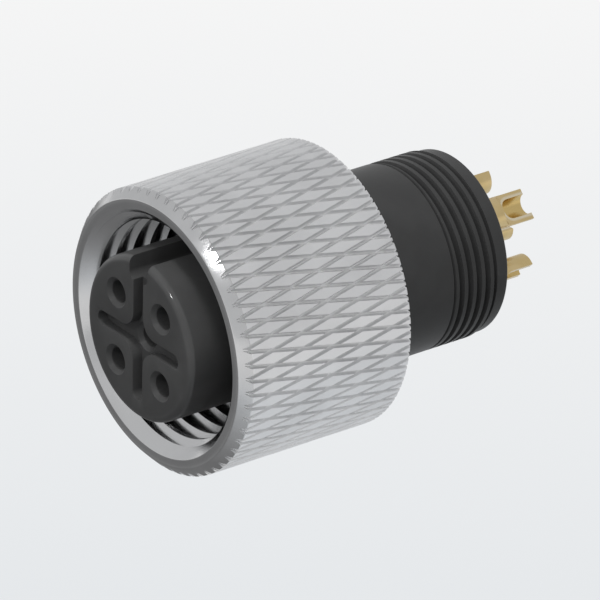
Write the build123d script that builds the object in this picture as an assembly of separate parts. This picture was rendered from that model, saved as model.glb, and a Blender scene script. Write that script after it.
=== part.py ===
from build123d import *
import os
from math import ceil, cos, pi, radians, sin, tan

os.makedirs("parts", exist_ok=True)

# A five-pole circular plug connector with a knurled coupling nut, in mm.
# Its axis is Y. Stations run along +Y from the mating face at 0, and the key slot points to +Z.

# Plug that enters the mating half
plug_d = 8.3
plug_edge_r = 0.35
plug_length = 6.8
key_width = 1.45
key_floor_r = 3.0
key_corner_r = 0.4

# Poles: four on a circle and one at its centre
pole_circle_d = 5.0
pole_angles = (45, -45, -135, 135)
entry_ease = 0.05
entry_lead = 0.2
entry_length = 1.6

# Cross-shaped groove that parts the face into four pads
groove_width = 0.77
groove_depth = 0.55
groove_reach = 3.2
pad_corner_r = 0.9

# Face seal, in a shallow seat at the root of the plug and a little inside the flange
seal_section_d = 1.1
seal_inset = 0.22
seal_side_gap = 0.025

# Carrier shank, held in the threaded body by a snap rib and a drive rib
shank_wall = 0.32
snap_height = 0.2
snap_width = 0.6
snap_from_shoulder = 5.7
drive_width = 1.2
drive_height = 0.6
drive_length = 1.35
carrier_recess = 0.3

# Threaded body, whose flange passes inside the nut's thread
flange_clearance = 0.16
flange_thickness = 1.0
barrel_wall = 0.9
run_out_width = 0.53
run_out_depth = 0.3
thread_length = 2.27
thread_from_shoulder = 8.8
tip_step = 0.16
tip_length = 0.8
tip_chamfer = 0.1

# Coupling nut, sized outwards from its thread
nut_length = 9.9
nut_thread_minor_d = 10.92
nut_thread_depth = 6.3
nut_relief_depth = 0.64
nut_shell = 1.02
nut_bevel = 0.49
nut_face_width = 0.47
nut_rear_bevel = 0.25
nut_rear_chamfer = 0.3
nut_travel = 1.15

# Diamond knurl: crossed V grooves that leave flat-topped diamonds
knurl_count = 60
knurl_angle = 12
knurl_groove_width = 0.24
knurl_depth = 0.25
knurl_stock = 0.5

# Split ring between the nut and the body, with a land of the nut's rear wall on each side
ring_width = 0.75
ring_thickness = 0.5
ring_seat_depth = 0.4
ring_gap = 1.6
ring_spread_room = 0.5
ring_front_land = 0.55
ring_rear_land = 0.72

# Turned contact: slotted socket, barbed collar and solder cup
pin_bore_d = 1.04
pin_bore_depth = 5.4
socket_wall = 0.23
socket_lead = 0.08
slot_width = 0.2
slot_length = 4.2
socket_length = 6.0
collar_rise = 0.15
collar_barbs = 2
barb_length = 0.5
barb_height = 0.12
cup_standout = 3.3
cup_bore_d = 1.0
cup_wall = 0.3
cup_bore_depth = 1.5
cup_flat_height = 0.05
cup_flat_length = 1.15
cup_cutter_r = 0.8

# Clearances
running_gap = 0.05
turning_gap = 0.08
seat_gap = 0.03

# Radii that follow from the sizes above
plug_r = plug_d / 2
pin_bore_r = pin_bore_d / 2
entry_r = pin_bore_r + entry_ease
socket_r = pin_bore_r + socket_wall
chamber_r = socket_r + running_gap
collar_r = socket_r + collar_rise
rear_hole_r = collar_r + seat_gap
cup_bore_r = cup_bore_d / 2
cup_r = cup_bore_r + cup_wall
shank_r = pole_circle_d / 2 + rear_hole_r + shank_wall
bore_r = shank_r + running_gap
barrel_r = bore_r + barrel_wall
tip_r = barrel_r - tip_step
thread_r = nut_thread_minor_d / 2
relief_r = thread_r + nut_relief_depth
crest_r = relief_r + nut_shell
front_ring_r = crest_r - nut_bevel
mouth_r = front_ring_r - nut_face_width
flange_r = thread_r - flange_clearance
seal_inner_r = flange_r - seal_inset - seal_section_d
seal_seat_r = seal_inner_r - seat_gap
recess_r = barrel_r - ring_seat_depth
ring_inner_r = recess_r + running_gap
ring_outer_r = ring_inner_r + ring_width

# Stations that follow
shoulder = plug_length
flange_rear = shoulder + flange_thickness
nut_wall_face = flange_rear + running_gap + nut_travel
ring_front = nut_wall_face + ring_front_land + running_gap
ring_rear = ring_front + ring_thickness
nut_rear = ring_rear + running_gap + ring_rear_land
nut_front = nut_rear - nut_length
recess_front = ring_front - nut_travel - running_gap
recess_rear = ring_rear + running_gap
thread_start = shoulder + thread_from_shoulder
thread_end = thread_start + thread_length
body_end = thread_end + tip_length
carrier_end = body_end - carrier_recess
cup_end = body_end + cup_standout
seal_seat_front = shoulder - seal_section_d - 2 * seal_side_gap
socket_front = entry_length + running_gap
collar_front = socket_front + socket_length


def turned(*outline):
    # Outline points are (radius, station)
    return revolve(make_face(Polyline(*outline, close=True)), Axis.Y)


def face_plane(station):
    return Plane(origin=(0, station, 0), x_dir=(1, 0, 0), z_dir=(0, -1, 0))


def sunk(sketch, station, depth):
    # A solid that goes from a station towards the rear
    return extrude(face_plane(station) * sketch, amount=-depth)


def at_poles(solid):
    return [Rot(0, angle, 0) * Pos(0, 0, pole_circle_d / 2) * solid for angle in pole_angles]


def block(width, height, low, front, rear):
    # A box centred on X, with its lower face at height "low"
    return Pos(0, (front + rear) / 2, low + height / 2) * Box(width, rear - front, height)


def pole_cavity(mouth):
    # Pin entry, socket chamber and the wider hole that the contact is pushed in through
    return turned(
        (0, mouth),
        (entry_r + entry_lead, mouth),
        (entry_r, mouth + entry_lead),
        (entry_r, entry_length),
        (chamber_r, entry_length),
        (chamber_r, collar_front - running_gap),
        (rear_hole_r, collar_front - running_gap),
        (rear_hole_r, carrier_end),
        (0, carrier_end),
    )


def cross_groove():
    arm = SlotOverall(2 * groove_reach, groove_width)
    run_into_key = Pos(0, groove_reach / 2) * Rectangle(groove_width, groove_reach)
    cross = arm + Rot(0, 0, 90) * arm + run_into_key
    inner = [v for v in cross.vertices() if abs(v.X) < groove_width and abs(v.Y) < groove_width]
    return sunk(fillet(inner, pad_corner_r), 0, groove_depth)


def key_slot():
    outline = Pos(0, key_floor_r + plug_r / 2) * Rectangle(key_width, plug_r)
    floor_corners = outline.vertices().sort_by(Axis.Y)[:2]
    return sunk(fillet(floor_corners, key_corner_r), 0, seal_seat_front)


def snap_rib(root_r, height, front, width):
    # Sloped at the front, square at the rear
    return turned(
        (root_r - height, front),
        (root_r, front),
        (root_r + height, front + width / 2),
        (root_r + height, front + width),
        (root_r - height, front + width),
    )


def contact_carrier():
    plug = turned(
        (0, 0),
        (plug_r, 0),
        (plug_r, seal_seat_front),
        (seal_seat_r, seal_seat_front),
        (seal_seat_r, shoulder),
        (0, shoulder),
    )
    shank = turned((0, shoulder), (shank_r, shoulder), (shank_r, carrier_end), (0, carrier_end))
    carrier = fillet(plug.edges().sort_by(Axis.Y)[0], plug_edge_r) + shank
    carrier += snap_rib(shank_r, snap_height, shoulder + snap_from_shoulder, snap_width)
    drive_low = -(shank_r + drive_height)
    carrier += block(drive_width, 2 * drive_height, drive_low, shoulder, shoulder + drive_length)
    carrier -= cross_groove() + key_slot()
    carrier -= at_poles(pole_cavity(0))
    return carrier - pole_cavity(groove_depth)


def threaded_body():
    body = turned(
        (bore_r, shoulder),
        (flange_r, shoulder),
        (flange_r, flange_rear),
        (barrel_r, flange_rear),
        (barrel_r, recess_front),
        (recess_r, recess_front),
        (recess_r, recess_rear),
        (barrel_r, recess_rear),
        (barrel_r, thread_start - run_out_width),
        (barrel_r - run_out_depth, thread_start - run_out_width),
        (barrel_r - run_out_depth, thread_start),
        (barrel_r, thread_start),
        (barrel_r, thread_end),
        (tip_r, thread_end),
        (tip_r, body_end - tip_chamfer),
        (tip_r - tip_chamfer, body_end),
        (bore_r, body_end),
    )
    groove_front = shoulder + snap_from_shoulder - running_gap
    body -= snap_rib(bore_r, snap_height, groove_front, snap_width + 2 * running_gap)
    drive_slot_low = -(bore_r + drive_height)
    drive_slot_width = drive_width + 2 * running_gap
    drive_slot_rear = shoulder + drive_length + running_gap
    return body - block(drive_slot_width, 2 * drive_height, drive_slot_low, shoulder, drive_slot_rear)


def face_seal():
    section_r = seal_section_d / 2
    centre = shoulder - seal_side_gap - section_r
    return revolve(Pos(seal_inner_r + section_r, centre) * Circle(section_r), Axis.Y)


def retaining_ring():
    ring = turned(
        (ring_inner_r, ring_front),
        (ring_outer_r, ring_front),
        (ring_outer_r, ring_rear),
        (ring_inner_r, ring_rear),
    )
    return ring - block(ring_gap, 2 * ring_outer_r, -2 * ring_outer_r, ring_front, ring_rear)


def knurled_bar(front, length):
    # Both sets of grooves cross on the key line at the front station
    root_r = crest_r - knurl_depth
    half_pitch = pi / knurl_count
    slope = radians(knurl_angle)
    row = half_pitch * crest_r / tan(slope)
    rows = ceil(length / row) + 2
    share = 1 - knurl_groove_width / (2 * half_pitch * crest_r * cos(slope))
    ahead, behind, left, right = (0, -1), (0, 1), (-1, 0), (1, 0)

    def point(radius, step, line):
        angle = step * half_pitch
        return Vector(radius * sin(angle), front + (line - 1) * row, radius * cos(angle))

    def facet(*points):
        return Face(Wire.make_polygon(points, close=True))

    def diamond(step, line, corners):
        # The top, folded along the axis, and two facets of flank between neighbouring corners
        top = [point(crest_r, step + share * a, line + share * b) for a, b in corners]
        foot = [point(root_r, step + a, line + b) for a, b in corners]
        facets = [facet(*top[k:k + 3]) for k in range(0, len(corners) - 1, 2)]
        for k in range(len(corners) - 1):
            facets.append(facet(top[k], top[k + 1], foot[k + 1]))
            facets.append(facet(top[k], foot[k + 1], foot[k]))
        return facets

    def end_cap(line):
        rim = []
        for step in range(1 - line % 2, 2 * knurl_count, 2):
            rim.append(point(root_r, step - 1, line))
            rim.append(point(crest_r, step - share, line))
            rim.append(point(crest_r, step + share, line))
        return facet(*rim)

    whole = (ahead, right, behind, left, ahead)
    halves = {0: (right, behind, left), rows: (left, ahead, right)}
    skin = [end_cap(0), end_cap(rows)]
    for line in range(rows + 1):
        for step in range(1 - line % 2, 2 * knurl_count, 2):
            skin += diamond(step, line, halves.get(line, whole))
    return Solid(Shell(skin))


def coupling_nut():
    ring_groove_r = ring_outer_r + ring_spread_room
    rear_bore_r = barrel_r + turning_gap
    outside = nut_bevel + knurl_stock
    rear_outside = nut_rear_bevel + knurl_stock
    blank = turned(
        (thread_r, nut_front + mouth_r - thread_r),
        (mouth_r, nut_front),
        (front_ring_r, nut_front),
        (front_ring_r + outside, nut_front + outside),
        (front_ring_r + outside, nut_rear - rear_outside),
        (crest_r - nut_rear_bevel, nut_rear),
        (rear_bore_r + nut_rear_chamfer, nut_rear),
        (rear_bore_r, nut_rear - nut_rear_chamfer),
        (rear_bore_r, ring_rear + running_gap),
        (ring_groove_r, ring_rear + running_gap),
        (ring_groove_r, ring_front - running_gap),
        (rear_bore_r, ring_front - running_gap),
        (rear_bore_r, nut_wall_face),
        (relief_r, nut_wall_face),
        (relief_r, nut_front + nut_thread_depth),
        (thread_r, nut_front + nut_thread_depth),
    )
    return blank & knurled_bar(nut_front, nut_length)


def solder_cup_cut():
    # A flat milled with a round cutter, and the ball-ended bore for the wire
    flat_start = cup_end - cup_flat_length
    flat = block(4 * cup_r, 2 * cup_r, cup_flat_height, flat_start, cup_end)
    cutter_at = Pos(0, flat_start, cup_flat_height + cup_cutter_r)
    cutter = cutter_at * Rot(0, 90, 0) * Cylinder(cup_cutter_r, 4 * cup_r)
    ball_at = cup_end - cup_bore_depth + cup_bore_r
    bore = turned((0, ball_at), (cup_bore_r, ball_at), (cup_bore_r, cup_end), (0, cup_end))
    return flat + cutter + bore + Pos(0, ball_at, 0) * Sphere(cup_bore_r)


def contact():
    bore_end = socket_front + pin_bore_depth
    outline = [
        (0, bore_end + pin_bore_r / 2),
        (pin_bore_r, bore_end),
        (pin_bore_r, socket_front + socket_lead),
        (pin_bore_r + socket_lead, socket_front),
        (socket_r, socket_front),
        (socket_r, collar_front),
    ]
    for barb in range(collar_barbs):
        front = collar_front + barb * barb_length
        outline.append((collar_r - barb_height, front))
        outline.append((collar_r, front + barb_length))
    collar_rear = collar_front + collar_barbs * barb_length
    outline += [(cup_r, collar_rear), (cup_r, cup_end), (0, cup_end)]
    slot = block(slot_width, 4 * socket_r, -2 * socket_r, socket_front, socket_front + slot_length)
    return turned(*outline) - slot - solder_cup_cut()


export_step(contact_carrier(), "parts/contact_carrier.step")
export_step(threaded_body(), "parts/threaded_body.step")
export_step(face_seal(), "parts/face_seal.step")
export_step(retaining_ring(), "parts/retaining_ring.step")
export_step(coupling_nut(), "parts/coupling_nut.step")

contacts = at_poles(contact()) + [contact()]
for number, piece in enumerate(contacts, start=1):
    export_step(piece, f"parts/contact_{number}.step")
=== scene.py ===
from math import copysign, cos, pi, radians, sin, sqrt

import bmesh
import bpy
from mathutils import Matrix, Vector


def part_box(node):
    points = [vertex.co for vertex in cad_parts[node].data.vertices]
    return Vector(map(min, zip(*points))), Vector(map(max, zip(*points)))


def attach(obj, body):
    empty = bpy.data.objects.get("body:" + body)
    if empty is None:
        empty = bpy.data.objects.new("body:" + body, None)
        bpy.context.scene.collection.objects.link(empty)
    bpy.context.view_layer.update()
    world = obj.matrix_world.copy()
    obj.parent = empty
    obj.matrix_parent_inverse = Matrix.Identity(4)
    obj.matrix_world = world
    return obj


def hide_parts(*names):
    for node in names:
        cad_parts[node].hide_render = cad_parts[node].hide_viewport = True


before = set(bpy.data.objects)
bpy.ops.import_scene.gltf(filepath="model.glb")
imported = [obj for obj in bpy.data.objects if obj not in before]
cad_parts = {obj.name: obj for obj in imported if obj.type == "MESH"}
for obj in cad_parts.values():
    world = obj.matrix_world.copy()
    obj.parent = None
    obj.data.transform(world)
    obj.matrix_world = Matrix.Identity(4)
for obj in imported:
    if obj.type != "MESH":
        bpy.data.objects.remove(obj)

# Pieces are modelled upright in millimetres: Z runs from the mating face to the rear, and the key is at -Y.
# The last step of each piece lays it down into the frame, in metres.
mm = 0.001
turn = 2 * pi
layDown = Matrix.Rotation(-pi / 2, 4, "X") @ Matrix.Scale(mm, 4)
weldLimit = 1e-4  # points nearer than this are merged
samePlace = 1e-3  # and places nearer than this count as one
overrun = 1  # how far a cutting tool runs past the surface that it opens


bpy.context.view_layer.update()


# Helpers for modelling

def clearSelection():
    bpy.ops.object.select_all(action="DESELECT")


def activate(piece):
    clearSelection()
    piece.select_set(True)
    bpy.context.view_layer.objects.active = piece


def startEdit(piece, mode="VERT"):
    activate(piece)
    bpy.ops.object.mode_set(mode="EDIT")
    bpy.ops.mesh.select_mode(type=mode)


def endEdit():
    bpy.ops.object.mode_set(mode="OBJECT")


def selectWhere(piece, kind, test):
    mesh = bmesh.from_edit_mesh(piece.data)
    for part in list(mesh.verts) + list(mesh.edges) + list(mesh.faces):
        part.select = False
    for part in getattr(mesh, kind):
        if test(part):
            part.select_set(True)
    mesh.select_flush_mode()
    bmesh.update_edit_mesh(piece.data)


def middle(part):
    return sum((corner.co for corner in part.verts), Vector()) / len(part.verts)


def flatRadius(point):
    return sqrt(point.x ** 2 + point.y ** 2)


def rise(edge):
    return abs(edge.verts[0].co.z - edge.verts[1].co.z)


def near(corner, places):
    return any((corner.co - place).length < samePlace for place in places)


def applyModifier(piece, kind, **settings):
    activate(piece)
    modifier = piece.modifiers.new(kind.title(), kind)
    for name, value in settings.items():
        setattr(modifier, name, value)
    bpy.ops.object.modifier_apply(modifier=modifier.name)


def combine(piece, tool, operation):
    applyModifier(piece, "BOOLEAN", object=tool, operation=operation, solver="EXACT")
    bpy.data.objects.remove(tool)


def cutAway(piece, *tools):
    for tool in tools:
        combine(piece, tool, "DIFFERENCE")
    return piece


def tidyFaces(limit=weldLimit):
    bpy.ops.mesh.select_all(action="SELECT")
    bpy.ops.mesh.remove_doubles(threshold=limit)
    bpy.ops.mesh.normals_make_consistent(inside=False)


def drawPath(name, points, closed=True):
    # One vertex, extruded from point to point; it is left in edit mode
    clearSelection()
    bpy.ops.mesh.primitive_plane_add(size=1)
    piece = bpy.context.object
    piece.name = name
    startEdit(piece)
    bpy.ops.mesh.merge(type="CENTER")
    bpy.ops.transform.translate(value=points[0])
    for here, there in zip(points, points[1:] + points[:closed]):
        bpy.ops.mesh.extrude_region_move(TRANSFORM_OT_translate={"value": there - here})
    bpy.ops.mesh.select_all(action="SELECT")
    bpy.ops.mesh.remove_doubles(threshold=weldLimit)
    return piece


def roundCorner(piece, point, amount):
    selectWhere(piece, "verts", lambda corner: near(corner, [point]))
    bpy.ops.mesh.bevel(offset=amount, segments=8, affect="VERTICES", clamp_overlap=True)


def drawOutline(name, outline, rounding=0.0, closed=True):
    # An outline of (radius, station) points; a third number rounds that corner by itself
    points = [Vector((radius, 0, station)) for radius, station, *_ in outline]
    piece = drawPath(name, points, closed)
    ownRounding = [(point, corner[2]) for point, corner in zip(points, outline) if len(corner) > 2]
    if rounding:
        own = [point for point, amount in ownRounding]
        selectWhere(piece, "verts", lambda corner: corner.co.x > rounding and not near(corner, own))
        bpy.ops.mesh.bevel(offset=rounding, segments=2, affect="VERTICES", clamp_overlap=True)
    for point, amount in ownRounding:
        roundCorner(piece, point, amount)
    return piece


def lathe(name, outline, steps=144, rounding=0.0, closed=True):
    # An outline that starts and ends on the axis is left open, and its poles close themselves
    piece = drawOutline(name, outline, rounding, closed)
    bpy.ops.mesh.select_all(action="SELECT")
    bpy.ops.mesh.spin(steps=steps, angle=turn, center=(0, 0, 0), axis=(0, 0, 1))
    tidyFaces()
    endEdit()
    return piece


def threadTool(name, thread, mouth, root):
    # A groove with straight flanks, swept along a right-hand helix, with both ends closed
    rootHalf, mouthHalf = thread["rootFlat"] / 2, thread["mouthFlat"] / 2
    spill = copysign(thread["spill"], mouth - root)
    flare = mouthHalf + spill * (mouthHalf - rootHalf) / (mouth - root)
    start, steps = thread["start"], thread["steps"]
    piece = drawOutline(name, [
        (mouth + spill, start - flare),
        (root, start - rootHalf),
        (root, start + rootHalf),
        (mouth + spill, start + flare),
    ])
    endEdit()
    piece.rotation_euler.z = radians(thread["startAngle"])
    bpy.ops.object.transform_apply(rotation=True)
    applyModifier(piece, "SCREW", axis="Z", angle=turn, screw_offset=thread["pitch"],
                  iterations=thread["turns"], steps=steps, render_steps=steps, use_merge_vertices=False)
    startEdit(piece, "EDGE")
    bpy.ops.mesh.select_all(action="SELECT")
    bpy.ops.mesh.remove_doubles(threshold=weldLimit)
    bpy.ops.mesh.select_non_manifold(extend=False)
    bpy.ops.mesh.fill_holes(sides=0)
    tidyFaces()
    endEdit()
    return piece


def box(name, low, high, rounding=0.0):
    # A block between two corners, with its four long edges along Z rounded
    low, high = Vector(low), Vector(high)
    clearSelection()
    bpy.ops.mesh.primitive_cube_add(size=1, location=(low + high) / 2, scale=high - low)
    piece = bpy.context.object
    piece.name = name
    bpy.ops.object.transform_apply(location=True, scale=True)
    if rounding:
        startEdit(piece, "EDGE")
        selectWhere(piece, "edges", lambda edge: rise(edge) > samePlace)
        bpy.ops.mesh.bevel(offset=rounding, segments=5, affect="EDGES")
        endEdit()
    return piece


def planTool(name, corners, low, high):
    # A plan of (x, y, rounding) corners, raised into a block
    points = [Vector((x, y, low)) for x, y, amount in corners]
    piece = drawPath(name, points)
    for point, (x, y, amount) in zip(points, corners):
        if amount:
            roundCorner(piece, point, amount)
    bpy.ops.mesh.select_all(action="SELECT")
    bpy.ops.mesh.remove_doubles(threshold=weldLimit)
    bpy.ops.mesh.edge_face_add()
    bpy.ops.mesh.extrude_region_move(TRANSFORM_OT_translate={"value": (0, 0, high - low)})
    tidyFaces()
    endEdit()
    return piece


def breakEdges(piece, width, test):
    # Rounds the sharp edges whose middle passes the test
    startEdit(piece, "EDGE")
    selectWhere(piece, "edges", lambda edge: (
        len(edge.link_faces) == 2 and edge.calc_face_angle() > radians(35) and test(middle(edge))))
    bpy.ops.mesh.bevel(offset=width, segments=2, affect="EDGES", clamp_overlap=True)
    endEdit()


def copyAt(piece, name, place, angle=0.0):
    # Pole angles are counted from the key, about the axis
    twin = piece.copy()
    twin.data = piece.data.copy()
    twin.name = name
    bpy.context.collection.objects.link(twin)
    twin.data.transform(Matrix.Rotation(angle, 4, "Z") @ Matrix.Translation(place))
    return twin


def finishPiece(piece, body, material, nodes, smooth=30, flatEnds=False):
    piece.data.transform(layDown)
    activate(piece)
    bpy.ops.object.shade_smooth_by_angle(angle=radians(smooth))
    if flatEnds:
        # Faces square to the axis are shaded flat, so that no rim turns their light
        startEdit(piece, "FACE")
        selectWhere(piece, "faces", lambda face: abs(face.normal.y) > 0.9999)
        bpy.ops.mesh.faces_shade_flat()
        endEdit()
    # Wide faces keep their own direction, and only the narrow roundings between them turn it
    applyModifier(piece, "WEIGHTED_NORMAL", weight=50, keep_sharp=True)
    piece.data.materials.clear()
    piece.data.materials.append(material)
    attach(piece, body)
    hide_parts(*nodes)
    return piece


# Shader maths written as expressions

class Field:
    # A value on a shader socket; sums and products of fields add the nodes they need

    def __init__(self, tree, socket):
        self.tree = tree
        self.socket = socket

    def node(self, kind, settings=(), output=0, **values):
        made = self.tree.nodes.new(kind)
        for name, value in dict(settings).items():
            setattr(made, name, value)
        for name, value in values.items():
            socket = made.inputs[int(name[1:]) if name[1:].isdigit() else name.replace("_", " ")]
            if isinstance(value, Field):
                self.tree.links.new(value.socket, socket)
            else:
                socket.default_value = value
        return Field(self.tree, made.outputs[output])

    def maths(self, operation, *values):
        sockets = {f"i{number}": value for number, value in enumerate(values)}
        return self.node("ShaderNodeMath", {"operation": operation}, **sockets)

    def __add__(self, other):
        return self.maths("ADD", self, other)

    __radd__ = __add__

    def __sub__(self, other):
        return self.maths("SUBTRACT", self, other)

    def __rsub__(self, other):
        return self.maths("SUBTRACT", other, self)

    def __mul__(self, other):
        return self.maths("MULTIPLY", self, other)

    __rmul__ = __mul__

    def __pow__(self, power):
        return self.maths("POWER", self, power)

    def ramp(self, low, high):
        return self.node("ShaderNodeMapRange", {"interpolation_type": "SMOOTHSTEP"},
                         i0=self, i1=low, i2=high)

    def axis(self, name):
        parts = {"X": 0, "Y": 1, "Z": 2}
        return self.node("ShaderNodeSeparateXYZ", (), parts[name], Vector=self)


def rgba(red, green, blue):
    return (red, green, blue, 1)


class Finish:
    # A material with one shader, and the fields that its patterns start from

    def __init__(self, name, **constants):
        self.material = bpy.data.materials.new(name)
        self.material.use_nodes = True
        self.tree = self.material.node_tree
        self.shader = self.tree.nodes["Principled BSDF"]
        for socket, value in constants.items():
            self.shader.inputs[socket.replace("_", " ")].default_value = value
        self.start = Field(self.tree, None)
        place = self.start.node("ShaderNodeTexCoord", (), "Object")
        # Patterns count in millimetres
        self.place = self.start.node("ShaderNodeVectorMath", {"operation": "SCALE"},
                                     i0=place, Scale=1 / mm)
        self.station = self.place.axis("Y")
        across = self.place.axis("X")
        upward = self.place.axis("Z")
        self.radius = (across * across + upward * upward) ** 0.5

    def noise(self, scale, detail=2.0, roughness=0.5, place=None):
        return self.start.node("ShaderNodeTexNoise", (), 0, Vector=place or self.place,
                               Scale=scale, Detail=detail, Roughness=roughness)

    def stretched(self, scale):
        return self.start.node("ShaderNodeMapping", {"vector_type": "POINT"},
                               Vector=self.place, Scale=scale)

    def mixed(self, share, first, second):
        return self.start.node("ShaderNodeMix", {"data_type": "RGBA"}, 2, i0=share, i6=first, i7=second)

    def feed(self, socket, field):
        self.tree.links.new(field.socket, self.shader.inputs[socket])

    def bump(self, height, distance):
        bumped = self.start.node("ShaderNodeBump", (), 0,
                                 Height=height, Distance=distance * mm, Strength=1.0)
        self.feed("Normal", bumped)


nickelSizes = {
    "turnedBright": rgba(0.63, 0.63, 0.635),
    "turnedDull": rgba(0.58, 0.58, 0.585),
    "bright": rgba(0.77, 0.77, 0.775),
    "dull": rgba(0.71, 0.71, 0.715),
    "paintedGrooveLight": rgba(0.98, 0.98, 0.98),  # painted light: the knurl's grooves are coloured paler than its diamond tops, to lift the shade in them
    "turned": 0.18,  # roughness of each surface
    "knurled": 0.38,
}


def satinNickel():
    # Matt on the knurl, and brighter on the turned front, mouth and rear
    size, depth = nutSizes, knurlSizes["depth"]
    finish = Finish("satinNickel", Metallic=1.0)
    cloud = finish.noise(0.35, detail=4.0)
    grain = finish.noise(9.0, detail=3.0)
    turning = finish.noise(14.0, place=finish.start.node(
        "ShaderNodeCombineXYZ", (), 0, X=finish.radius, Y=finish.station * 0.4, Z=0.0))
    handled = cloud.ramp(0.35, 0.65)
    plated = finish.mixed(handled, nickelSizes["dull"], nickelSizes["bright"])
    turned = finish.mixed(handled, nickelSizes["turnedDull"], nickelSizes["turnedBright"])
    bevelLine = size["front"] - size["ring"]
    knurled = (finish.station - finish.radius).ramp(bevelLine + 0.03, bevelLine + 0.1)
    knurled = knurled * finish.radius.ramp(size["crest"] - 3 * depth, size["crest"] - 1.3 * depth)
    # Below the diamond tops the knurl takes the paler groove colour, painted light that lifts the shade in
    # its grooves
    onTop = finish.radius.ramp(size["crest"] - depth, size["crest"] - 0.3 * depth)
    outside = finish.mixed(onTop, nickelSizes["paintedGrooveLight"], plated)
    finish.feed("Base Color", finish.mixed(knurled, turned, outside))
    # In each finish the stated roughness is the middle of what its noises give
    finish.feed("Roughness", grain * 0.08 + cloud * 0.06 + (nickelSizes["turned"] - 0.07)
                + knurled * (nickelSizes["knurled"] - nickelSizes["turned"]))
    finish.bump(turning * 0.7 + grain * 0.3, 0.003)
    return finish.material


plasticSizes = {
    "fresh": rgba(0.053, 0.053, 0.053),
    "worn": rgba(0.061, 0.061, 0.061),
    "roughness": 0.42,
    "rimCoat": 0.38,
    "rimCoatRoughness": 0.12,
}


def blackPlastic(name, tone):
    # Moulded plastic with a fine eroded grain, a shade paler where it has been handled
    finish = Finish(name, IOR=1.49, Specular_IOR_Level=0.16)
    grain = finish.noise(16.0, detail=2.0)
    cloud = finish.noise(0.5, detail=3.0)
    fresh, worn = [rgba(*(tone * part for part in plasticSizes[state][:3])) for state in ("fresh", "worn")]
    finish.feed("Base Color", finish.mixed(cloud.ramp(0.35, 0.7), fresh, worn))
    finish.feed("Roughness", grain * 0.12 + cloud * 0.08 + (plasticSizes["roughness"] - 0.1))
    finish.bump(grain, 0.004)
    return finish


goldSizes = {
    "fresh": rgba(0.68, 0.53, 0.28),
    "worn": rgba(0.64, 0.49, 0.24),
    "bore": rgba(0.65, 0.48, 0.20),
    "rim": rgba(0.77, 0.68, 0.51),  # painted highlight: a pale ring round the mouth of the cup's bore, where its edge catches the light
    "rimWidth": 0.2,
    "roughness": 0.3,
}


def paleGold():
    finish = Finish("paleGold", Metallic=1.0)
    cloud = finish.noise(1.2, detail=3.0)
    turning = finish.noise(20.0, place=finish.stretched((0.15, 1.0, 0.15)))
    gold = finish.mixed(cloud.ramp(0.35, 0.65), goldSizes["worn"], goldSizes["fresh"])
    # Distance from the middle of the cup's bore and of its ball end, in the contact's own frame
    own = finish.start.node("ShaderNodeAttribute", {"attribute_name": "ownPlace"}, "Vector")
    across, upward = own.axis("X"), own.axis("Y")
    ballRadius, ballAt = contactSizes["cupBore"]
    along = own.axis("Z") - ballAt
    ahead = along.maths("MINIMUM", along, 0.0)
    away = (across * across + upward * upward + ahead * ahead) ** 0.5
    inBore = 1 - away.ramp(ballRadius + 0.005, ballRadius + 0.02)
    rimEnd = ballRadius + goldSizes["rimWidth"]
    # The pale ring round the bore's mouth is a painted highlight
    rimHighlightShare = away.ramp(ballRadius + 0.01, ballRadius + 0.03) * (1 - away.ramp(rimEnd - 0.12, rimEnd))
    bored = finish.mixed(inBore, gold, goldSizes["bore"])
    finish.feed("Base Color", finish.mixed(rimHighlightShare, bored, goldSizes["rim"]))
    finish.feed("Roughness", cloud * 0.12 + turning * 0.06 + (goldSizes["roughness"] - 0.09))
    finish.bump(turning, 0.004)
    return finish.material


def polishRim(finish):
    # The plug's front rim is moulded a little glossier than its faces
    plug, rounding = carrierSizes["plug"], carrierSizes["rimRounding"]
    outer = finish.radius.ramp(plug - rounding - 0.05, plug - rounding)
    front = 1 - finish.station.ramp(rounding, rounding + 0.05)
    finish.feed("Coat Weight", outer * front * plasticSizes["rimCoat"])
    finish.shader.inputs["Coat Roughness"].default_value = plasticSizes["rimCoatRoughness"]


rubberSizes = {"dark": rgba(0.018, 0.018, 0.018), "pale": rgba(0.035, 0.034, 0.033), "roughness": 0.65}


def sealRubber():
    finish = Finish("sealRubber", IOR=1.5)
    cloud = finish.noise(1.5, detail=4.0)
    finish.feed("Base Color", finish.mixed(cloud, rubberSizes["dark"], rubberSizes["pale"]))
    finish.feed("Roughness", cloud * 0.2 + (rubberSizes["roughness"] - 0.1))
    finish.bump(cloud, 0.01)
    return finish.material


steelSizes = {"dark": rgba(0.42, 0.43, 0.45), "pale": rgba(0.58, 0.59, 0.60), "roughness": 0.325}


def springSteel():
    finish = Finish("springSteel", Metallic=1.0)
    rolled = finish.noise(8.0, detail=3.0)
    finish.feed("Base Color", finish.mixed(rolled, steelSizes["dark"], steelSizes["pale"]))
    finish.feed("Roughness", rolled * 0.15 + (steelSizes["roughness"] - 0.075))
    finish.bump(rolled, 0.004)
    return finish.material


print("helpers and finishes ready")


# Coupling nut

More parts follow.
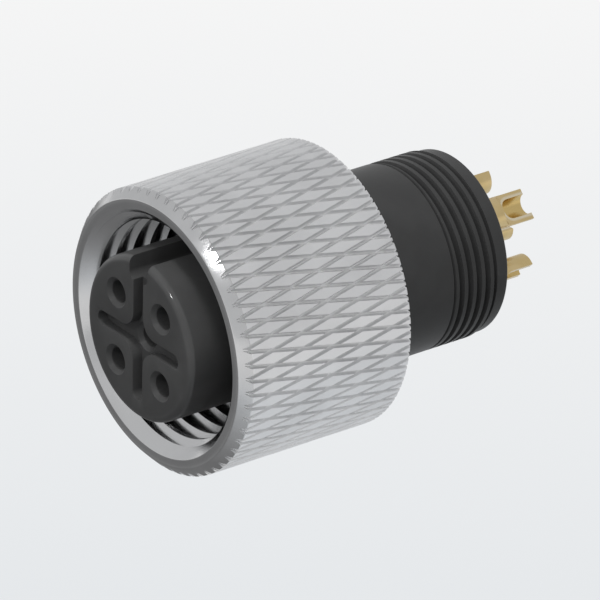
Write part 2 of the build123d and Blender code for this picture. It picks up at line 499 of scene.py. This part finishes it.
nutLow, nutHigh = [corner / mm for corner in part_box("coupling_nut")]
nutSizes = {
    "front": nutLow.y,
    "rear": nutHigh.y,
    "crest": nutHigh.x,
    "ring": 6.63,  # outer radius of the flat front face
    "mouth": 6.16,  # its inner radius, where the lead-in starts
    "thread": 5.46,
    "threadEnd": 7.27,
    "relief": 6.1,
    "wallFace": 9.0,
    "ringGroove": (5.6, 9.55, 10.15),  # radius, first and last station
    "rearBore": 4.78,
    "rearChamfer": 0.3,
    "rearBevel": 0.08,
    "edgeBreak": 0.04,
    "stock": 1.2,
}
knurlSizes = {
    "columns": 60,
    "row": 1.754,  # half the length of a diamond
    "rows": 5,  # whole diamonds along the bar, which is longer than the nut
    "depth": 0.25,
    "grooveHalfWidth": 0.092,
}
couplingThread = {
    "pitch": 1.0,
    "root": 5.94,
    "rootFlat": 0.12,
    "mouthFlat": 0.75,
    "spill": 0.12,  # how far the tool's flanks run on past the groove's mouth
    "start": 0.54,
    "startAngle": 0,
    "turns": 8,
    "steps": 120,  # of one turn
}


def isSide(face):
    return abs(face.normal.z) < 0.5


def onGrid(edge, columnSpan, rowSpan):
    # Edges of the grid before it was poked, apart from the two rims
    if len(edge.link_faces) < 2 or not all(isSide(face) for face in edge.link_faces):
        return False
    span = edge.verts[0].co - edge.verts[1].co
    upright = abs(span.z) > 0.9 * rowSpan
    level = abs(span.z) < samePlace and span.length > 0.9 * columnSpan
    return upright or level


def knurledBar():
    # Poking a grid and dissolving its first edges leaves diamonds, and each is then inset and raised
    size = knurlSizes
    rows, columns, rowSpan = size["rows"], size["columns"], 2 * size["row"]
    root = nutSizes["crest"] - size["depth"]
    columnSpan = 2 * root * sin(pi / columns)
    clearSelection()
    bpy.ops.mesh.primitive_cylinder_add(vertices=columns, radius=root, depth=rows * rowSpan)
    bar = bpy.context.object
    startEdit(bar, "EDGE")
    # Both hands of groove cross on the key line at the front face
    start = nutSizes["front"] - rowSpan
    bpy.ops.transform.translate(value=(0, 0, start + rows * rowSpan / 2))
    bpy.ops.transform.rotate(value=pi / columns, orient_axis="Z", center_override=(0, 0, 0))
    selectWhere(bar, "edges", lambda edge: rise(edge) > rowSpan / 2)
    bpy.ops.mesh.subdivide_edgering(number_cuts=rows - 1, interpolation="LINEAR")
    bpy.ops.mesh.select_mode(type="FACE")
    selectWhere(bar, "faces", isSide)
    bpy.ops.mesh.poke()
    bpy.ops.mesh.select_mode(type="EDGE")
    selectWhere(bar, "edges", lambda edge: onGrid(edge, columnSpan, rowSpan))
    bpy.ops.mesh.dissolve_edges(use_verts=False)
    bpy.ops.mesh.select_mode(type="FACE")
    selectWhere(bar, "faces", isSide)
    bpy.ops.mesh.inset(thickness=size["grooveHalfWidth"], depth=size["depth"], use_individual=True)
    tidyFaces()
    endEdit()
    return bar


def couplingNut():
    size = nutSizes
    groove, grooveFront, grooveRear = size["ringGroove"]
    outside = size["ring"] + size["stock"]
    blank = lathe("couplingNut", [
        (size["thread"], size["front"] + size["mouth"] - size["thread"]),
        (size["mouth"], size["front"]),
        (size["ring"], size["front"]),
        (outside, size["front"] + size["stock"]),
        (outside, size["rear"] - size["rearBevel"] - outside + size["crest"]),
        (size["crest"] - size["rearBevel"], size["rear"]),
        (size["rearBore"] + size["rearChamfer"], size["rear"]),
        (size["rearBore"], size["rear"] - size["rearChamfer"]),
        (size["rearBore"], grooveRear),
        (groove, grooveRear),
        (groove, grooveFront),
        (size["rearBore"], grooveFront),
        (size["rearBore"], size["wallFace"]),
        (size["relief"], size["wallFace"]),
        (size["relief"], size["threadEnd"]),
        (size["thread"], size["threadEnd"]),
    ], steps=180, rounding=size["edgeBreak"])
    cutAway(blank, threadTool("tap", couplingThread, size["thread"], couplingThread["root"]))
    combine(blank, knurledBar(), "INTERSECT")
    return blank


nut = finishPiece(couplingNut(), "nut", satinNickel(), ["coupling_nut"],
                  smooth=24, flatEnds=True)
print("coupling nut", len(nut.data.polygons), "faces")


# Contact carrier

carrierSizes = {
    "plug": 4.15,
    "rimRounding": 0.35,
    "sealSeat": (3.95, 5.65, 6.8),  # radius, first and last station
    "shank": 3.75,
    "snap": (3.95, 12.5, 12.8, 13.1),
    "rear": 18.37,
    "drive": (1.2, 3, 4.35, 8.15),  # width, inner and outer radius, and last station
    "key": (1.45, 3.0, 0.4),  # width, floor and corner rounding
    "groove": (0.77, 3.2, 0.55),  # width, reach and depth
    "keyRun": 0.2,  # the groove's arm at the key runs on into the key slot
    "padRounding": 0.9,
    "entry": (0.57, 0.2, 1.6),  # radius, lead-in and last station
    "chamber": (0.8, 7.6),
    "rearHole": 0.93,
    "poleCircle": 2.5,
    "poleAngles": (45, -45, -135, 135),
    "edgeBreak": 0.04,
}


def atPoles(piece, name):
    # Four copies on the pole circle; the piece itself stays at the centre
    place = Vector((0, -carrierSizes["poleCircle"], 0))
    return [copyAt(piece, name.format(number), place, radians(angle))
            for number, angle in enumerate(carrierSizes["poleAngles"], start=1)]


def poleTool(name, mouth):
    entry, lead, entryEnd = carrierSizes["entry"]
    chamber, chamberEnd = carrierSizes["chamber"]
    spill = 0.05  # the lead-in's slope runs on past its mouth
    return lathe(name, [
        (0, mouth - spill),
        (entry + lead + spill, mouth - spill),
        (entry, mouth + lead),
        (entry, entryEnd),
        (chamber, entryEnd),
        (chamber, chamberEnd),
        (carrierSizes["rearHole"], chamberEnd),
        (carrierSizes["rearHole"], carrierSizes["rear"] + overrun),
        (0, carrierSizes["rear"] + overrun),
    ], steps=48, closed=False)


def contactCarrier():
    size = carrierSizes
    seat, seatFront, shoulder = size["sealSeat"]
    snap, snapFront, snapTop, snapRear = size["snap"]
    carrier = lathe("contactCarrier", [
        (0, 0),
        (size["plug"], 0, size["rimRounding"]),
        (size["plug"], seatFront),
        (seat, seatFront),
        (seat, shoulder),
        (size["shank"], shoulder),
        (size["shank"], snapFront),
        (snap, snapTop),
        (snap, snapRear),
        (size["shank"], snapRear),
        (size["shank"], size["rear"]),
        (0, size["rear"]),
    ], rounding=size["edgeBreak"], closed=False)
    driveWidth, driveIn, driveOut, driveRear = size["drive"]
    drive = box("drive", (-driveWidth / 2, driveIn, shoulder), (driveWidth / 2, driveOut, driveRear))
    combine(carrier, drive, "UNION")
    width, reach, depth = size["groove"]
    half, pad, keyReach = width / 2, size["padRounding"], reach + size["keyRun"]
    cross = planTool("cross", [
        (half, half, pad), (reach, half, half), (reach, -half, half),
        (half, -half, pad), (half, -keyReach, 0), (-half, -keyReach, 0),
        (-half, -half, pad), (-reach, -half, half), (-reach, half, half),
        (-half, half, pad), (-half, reach, half), (half, reach, half),
    ], -overrun, depth)
    keyWidth, keyFloor, keyCorner = size["key"]
    key = box("key", (-keyWidth / 2, -size["plug"] - overrun, -overrun),
              (keyWidth / 2, -keyFloor, seatFront), keyCorner)
    cutAway(carrier, cross, key)
    breakEdges(carrier, size["edgeBreak"],
               lambda place: abs(place.z) < samePlace and flatRadius(place) < size["plug"])
    middlePole = poleTool("middlePole", depth)
    outerPole = poleTool("outerPole", 0)
    poles = atPoles(outerPole, "pole{}")
    bpy.data.objects.remove(outerPole)
    return cutAway(carrier, middlePole, *poles)


carrierPlastic = blackPlastic("carrierPlastic", tone=1.12)
polishRim(carrierPlastic)
carrier = finishPiece(contactCarrier(), "housing", carrierPlastic.material,
                      ["contact_carrier"])
print("contact carrier", len(carrier.data.polygons), "faces")


# Threaded body

bodySizes = {
    "bore": 3.8,
    "flange": (5.3, 6.8, 7.8),  # radius, first and last station
    "barrel": 4.7,
    "recess": (4.3, 8.4, 10.15),
    "snap": (4.0, 12.45, 12.8, 13.15),
    "drive": (1.3, 3, 4.4, 8.2),
    "mark": (15.38, 0.07, 0.18),  # station, half width and depth of the fine ring groove
    "tip": (4.6, 17.9, 17.96),
    "rear": 18.67,
    "rearRounding": 0.12,
    "edgeBreak": 0.04,
}
fineThread = {
    "pitch": 0.525,
    "depth": 0.28,
    "rootFlat": 0.05,
    "mouthFlat": 0.31,
    "spill": 0.1,
    "start": 15.38,
    "startAngle": 77,
    "turns": 5,
    "steps": 96,
}


def threadedBody():
    size = bodySizes
    flange, front, flangeRear = size["flange"]
    recess, recessFront, recessRear = size["recess"]
    snap, snapFront, snapTop, snapRear = size["snap"]
    mark, markHalf, markDepth = size["mark"]
    tip, threadEnd, tipStart = size["tip"]
    barrel, bore = size["barrel"], size["bore"]
    body = lathe("threadedBody", [
        (bore, front),
        (flange, front),
        (flange, flangeRear),
        (barrel, flangeRear),
        (barrel, recessFront),
        (recess, recessFront),
        (recess, recessRear),
        (barrel, recessRear),
        (barrel, mark - markHalf),
        (barrel - markDepth, mark),
        (barrel, mark + markHalf),
        (barrel, threadEnd),
        (tip, tipStart),
        (tip, size["rear"], size["rearRounding"]),
        (bore, size["rear"]),
        (bore, snapRear),
        (snap, snapRear),
        (snap, snapTop),
        (bore, snapFront),
    ], rounding=size["edgeBreak"])
    driveWidth, driveIn, driveOut, driveRear = size["drive"]
    drive = box("driveSlot", (-driveWidth / 2, driveIn, front - overrun),
                (driveWidth / 2, driveOut, driveRear))
    die = threadTool("die", fineThread, barrel, barrel - fineThread["depth"])
    return cutAway(body, drive, die)


bodyPlastic = blackPlastic("bodyPlastic", tone=0.8)
body = finishPiece(threadedBody(), "housing", bodyPlastic.material,
                   ["threaded_body"])
print("threaded body", len(body.data.polygons), "faces")


# Contacts: slotted socket, barbed collar and solder cup

contactSizes = {
    "front": 1.65,
    "pinBore": (0.52, 7.05),  # radius and depth station, before the drill's point
    "point": 0.26,
    "lead": 0.08,
    "socket": 0.75,
    "slot": (0.2, 1, 5.85),  # width, half length of its cutter, and last station
    "collar": (7.65, 8.15, 8.65),
    "barb": (0.78, 0.9),
    "cup": 0.8,
    "cupEnd": 21.97,
    "cupBore": (0.5, 20.97),  # radius, and station of its ball end's centre
    "drill": 2,
    "ballRings": 10,
    "flat": (0.05, 20.82),  # height over the axis, and the station where the flat starts
    "flatBlock": (2, 3),  # half width and depth of the block that is milled away
    "cutter": 0.8,
    "edgeBreak": 0.045,
    "brokenFrom": 20.2,  # edges behind this station are broken
}


def socketContact():
    size = contactSizes
    bore, boreEnd = size["pinBore"]
    collarFront, collarMiddle, collarRear = size["collar"]
    low, high = size["barb"]
    contact = lathe("contact", [
        (0, boreEnd + size["point"]),
        (bore, boreEnd),
        (bore, size["front"] + size["lead"]),
        (bore + size["lead"], size["front"]),
        (size["socket"], size["front"]),
        (size["socket"], collarFront),
        (low, collarFront),
        (high, collarMiddle),
        (low, collarMiddle),
        (high, collarRear),
        (size["cup"], collarRear),
        (size["cup"], size["cupEnd"]),
        (0, size["cupEnd"]),
    ], steps=64, closed=False)
    slotWidth, slotHalf, slotEnd = size["slot"]
    slot = box("slot", (-slotWidth / 2, -slotHalf, size["front"] - overrun),
               (slotWidth / 2, slotHalf, slotEnd))
    height, flatStart = size["flat"]
    halfWidth, blockDepth = size["flatBlock"]
    # The cup opens towards the key, and a round cutter leaves a curved run-in before its flat
    flat = box("flat", (-halfWidth, -blockDepth, flatStart), (halfWidth, -height, size["cupEnd"] + overrun))
    clearSelection()
    bpy.ops.mesh.primitive_cylinder_add(
        vertices=96, radius=size["cutter"], depth=2 * halfWidth, rotation=(0, pi / 2, 0),
        location=(0, -height - size["cutter"], flatStart))
    cutter = bpy.context.object
    bpy.ops.object.transform_apply(location=True, rotation=True)
    ballRadius, ballAt = size["cupBore"]
    clearSelection()
    bpy.ops.mesh.primitive_cylinder_add(
        vertices=64, radius=ballRadius, depth=size["drill"], location=(0, 0, ballAt + size["drill"] / 2))
    drill = bpy.context.object
    bpy.ops.object.transform_apply(location=True)
    # The drill's flat end is drawn out and rounded into a ball, whose pole stays a tiny flat
    startEdit(drill, "FACE")
    selectWhere(drill, "faces", lambda face: face.normal.z < -0.5)
    rings = size["ballRings"]
    for ring in range(rings):
        before, slant = [radians(90 * count / rings) for count in (ring, ring + 1)]
        bpy.ops.mesh.extrude_region_move(TRANSFORM_OT_translate={
            "value": (0, 0, -ballRadius * (sin(slant) - sin(before)))})
        shrink = max(cos(slant), 0.01) / cos(before)
        bpy.ops.transform.resize(value=(shrink, shrink, 1))
    tidyFaces()
    endEdit()
    return cutAway(contact, slot, flat, cutter, drill)


def markPlace(piece):
    # The finish reads each point's place in the contact's own frame, wherever its pole is
    marks = piece.data.attributes.new("ownPlace", "FLOAT_VECTOR", "POINT")
    for corner, mark in zip(piece.data.vertices, marks.data):
        mark.vector = corner.co


contactGold = paleGold()
contact = socketContact()
breakEdges(contact, contactSizes["edgeBreak"], lambda place: place.z > contactSizes["brokenFrom"])
markPlace(contact)
contacts = atPoles(contact, "contact{}") + [copyAt(contact, "contact5", Vector())]
bpy.data.objects.remove(contact)
for number, piece in enumerate(contacts, start=1):
    finishPiece(piece, "housing", contactGold, [f"contact_{number}"])
print("contacts", len(contacts[0].data.polygons), "faces each")


# Face seal and retaining ring: merged, smoothly shaded copies of their solids

def smoothCopy(name, node, body, material, smooth):
    piece = bpy.data.objects.new(name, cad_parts[node].data.copy())
    bpy.context.collection.objects.link(piece)
    piece.data.transform(layDown.inverted())
    startEdit(piece)
    tidyFaces(1e-3)
    endEdit()
    return finishPiece(piece, body, material, [node], smooth)


smoothCopy("faceSeal", "face_seal", "housing", sealRubber(), 40)
smoothCopy("retainingRing", "retaining_ring", "ring", springSteel(), 30)
print("seal and ring ready")


# Camera, floor and lights

cameraSizes = {
    "azimuth": 52.48,
    "elevation": 26.18,
    "roll": 1.06,
    "lens": 540,
    "distance": 425.8,
    "shift": (6.888, 1.625),  # how far the view's middle lies right of and above the target
    "target": (0, nutLow.y, 0),
    "sensor": 36,
    "clip": (0.01, 20),  # in metres
}


def towards(azimuth, elevation):
    # Azimuth 0 is in front of the mating face, and 90 is on the +X side
    side, rise = radians(azimuth), radians(elevation)
    return Vector((sin(side) * cos(rise), -cos(side) * cos(rise), sin(rise)))


def addCamera():
    size = cameraSizes
    back = towards(size["azimuth"], size["elevation"])
    upright = (-back).to_track_quat("-Z", "Y")
    turned = upright @ Matrix.Rotation(radians(size["roll"]), 3, "Z").to_quaternion()
    right, up = turned @ Vector((1, 0, 0)), turned @ Vector((0, 1, 0))
    aside, above = size["shift"]
    place = Vector(size["target"]) + right * aside + up * above + back * size["distance"]
    bpy.ops.object.camera_add(location=place * mm)
    camera = bpy.context.object
    camera.rotation_mode = "QUATERNION"
    camera.rotation_quaternion = turned
    camera.data.lens = size["lens"]
    camera.data.sensor_width = size["sensor"]
    camera.data.clip_start, camera.data.clip_end = size["clip"]
    bpy.context.scene.camera = camera


stageSizes = {
    "floorDrop": 70,  # below the connector, which hangs free as it would in its mate
    "floorSpan": 4000,
    "floor": (rgba(0.20, 0.205, 0.21), rgba(0.22, 0.225, 0.23)),
    "near": rgba(0.835, 0.862, 0.886),  # backdrop under the connector, and further out
    "far": rgba(1.0, 1.0, 1.0),
    "backdropShare": 0.9,  # the rest is the lit floor with its shadow
    "fade": (95, 200),
    "world": 0.68,
    "flag": (-205, -70, -50),  # middle of a dark card that only reflections show
    "flagSpan": (630, 320),
    "flagRight": (-10, 88),  # where it fades out towards the right, the rear and the left
    "flagRear": (8, 20),
    "flagLeft": (110, 540),
    "flagSlopes": (0.4, 0.43),  # of its right and rear edges
    # tones of the sheet that paints a dark reflection into the metal
    "paintedReflectionTone": (rgba(0.19, 0.19, 0.19), rgba(0.23, 0.23, 0.23)),
}


def addFloor():
    size = stageSizes
    clearSelection()
    bpy.ops.mesh.primitive_plane_add(size=size["floorSpan"] * mm, location=(0, 0, -size["floorDrop"] * mm))
    floor = bpy.context.object
    floor.name = "floor"
    finish = Finish("paleFloor", Roughness=0.9)
    finish.feed("Base Color", finish.mixed(finish.noise(0.002), *size["floor"]))
    # The floor keeps its shadows, under a pale backdrop that grows paler outwards
    away = (finish.place.axis("X") ** 2 + finish.place.axis("Y") ** 2) ** 0.5
    nearest, furthest = size["fade"]
    span = finish.start.node("ShaderNodeMapRange", (), 0, i0=away, i1=nearest, i2=furthest)
    backdrop = finish.start.node("ShaderNodeEmission", (), 0,
                                 Color=finish.mixed(span, size["near"], size["far"]), Strength=1.0)
    camera, glossy, clear = [finish.start.node("ShaderNodeLightPath", (), ray)
                             for ray in ("Is Camera Ray", "Is Glossy Ray", "Is Transmission Ray")]
    seen = (camera + glossy + clear) * size["backdropShare"]
    lit = Field(finish.tree, finish.shader.outputs[0])
    shown = finish.start.node("ShaderNodeMixShader", (), 0, i0=seen, i1=lit, i2=backdrop)
    finish.tree.links.new(shown.socket, finish.tree.nodes["Material Output"].inputs["Surface"])
    floor.data.materials.append(finish.material)


def addReflectionOnlySheet():
    # A dark sheet seen only in reflections: it paints a dark reflection into the metal, and casts no shadow
    # and lights nothing
    size = stageSizes
    clearSelection()
    bpy.ops.mesh.primitive_plane_add(size=1, location=Vector(size["flag"]) * mm,
                                     scale=Vector((*size["flagSpan"], 1)) * mm)
    flag = bpy.context.object
    flag.name = "reflectionOnlySheet"
    bpy.ops.object.transform_apply(location=True, scale=True)
    finish = Finish("paintedDarkReflection", Roughness=0.9)
    finish.feed("Base Color", finish.mixed(finish.noise(0.05), *size["paintedReflectionTone"]))
    across, behind = finish.place.axis("X"), finish.place.axis("Y")
    rightSlope, rearSlope = size["flagSlopes"]
    rightEdge = (across - behind * rightSlope).ramp(*size["flagRight"])
    rearEdge = (behind + across * rearSlope).ramp(*size["flagRear"])
    leftEdge = (0 - across).ramp(*size["flagLeft"])
    finish.feed("Alpha", (1 - rightEdge) * (1 - rearEdge) * (1 - leftEdge))
    flag.data.materials.append(finish.material)
    flag.visible_camera = False
    flag.visible_diffuse = False
    flag.visible_shadow = False
    flag.visible_transmission = False


def addWorld():
    world = bpy.data.worlds.new("paleStudio")
    bpy.context.scene.world = world
    world.use_nodes = True
    backdrop = world.node_tree.nodes["Background"]
    backdrop.inputs["Color"].default_value = rgba(0.98, 0.99, 1.0)
    backdrop.inputs["Strength"].default_value = stageSizes["world"]


def addSoftLight(name, azimuth, elevation, distance, size, watts, inMetal=True):
    # Azimuth and elevation are in degrees, distance and size in millimetres
    aim = towards(azimuth, elevation)
    bpy.ops.object.light_add(type="AREA", location=aim * distance * mm)
    lamp = bpy.context.object
    lamp.name = name
    lamp.rotation_mode = "QUATERNION"
    lamp.rotation_quaternion = aim.to_track_quat("Z", "Y")
    lamp.data.shape = "DISK"
    lamp.data.size = size * mm
    lamp.data.energy = watts
    lamp.visible_camera = False
    lamp.visible_glossy = inMetal


bpy.context.scene.view_settings.view_transform = "Standard"
addCamera()
addFloor()
addReflectionOnlySheet()
addWorld()
addSoftLight("keyLight", 12.5, 43.5, 43, 3.1, 0.0031)
addSoftLight("topLight", 27, 77, 320, 60, 0.42, inMetal=False)
addSoftLight("fillLight", 80, 55, 320, 240, 0.05)
print("camera, floor and lights ready")
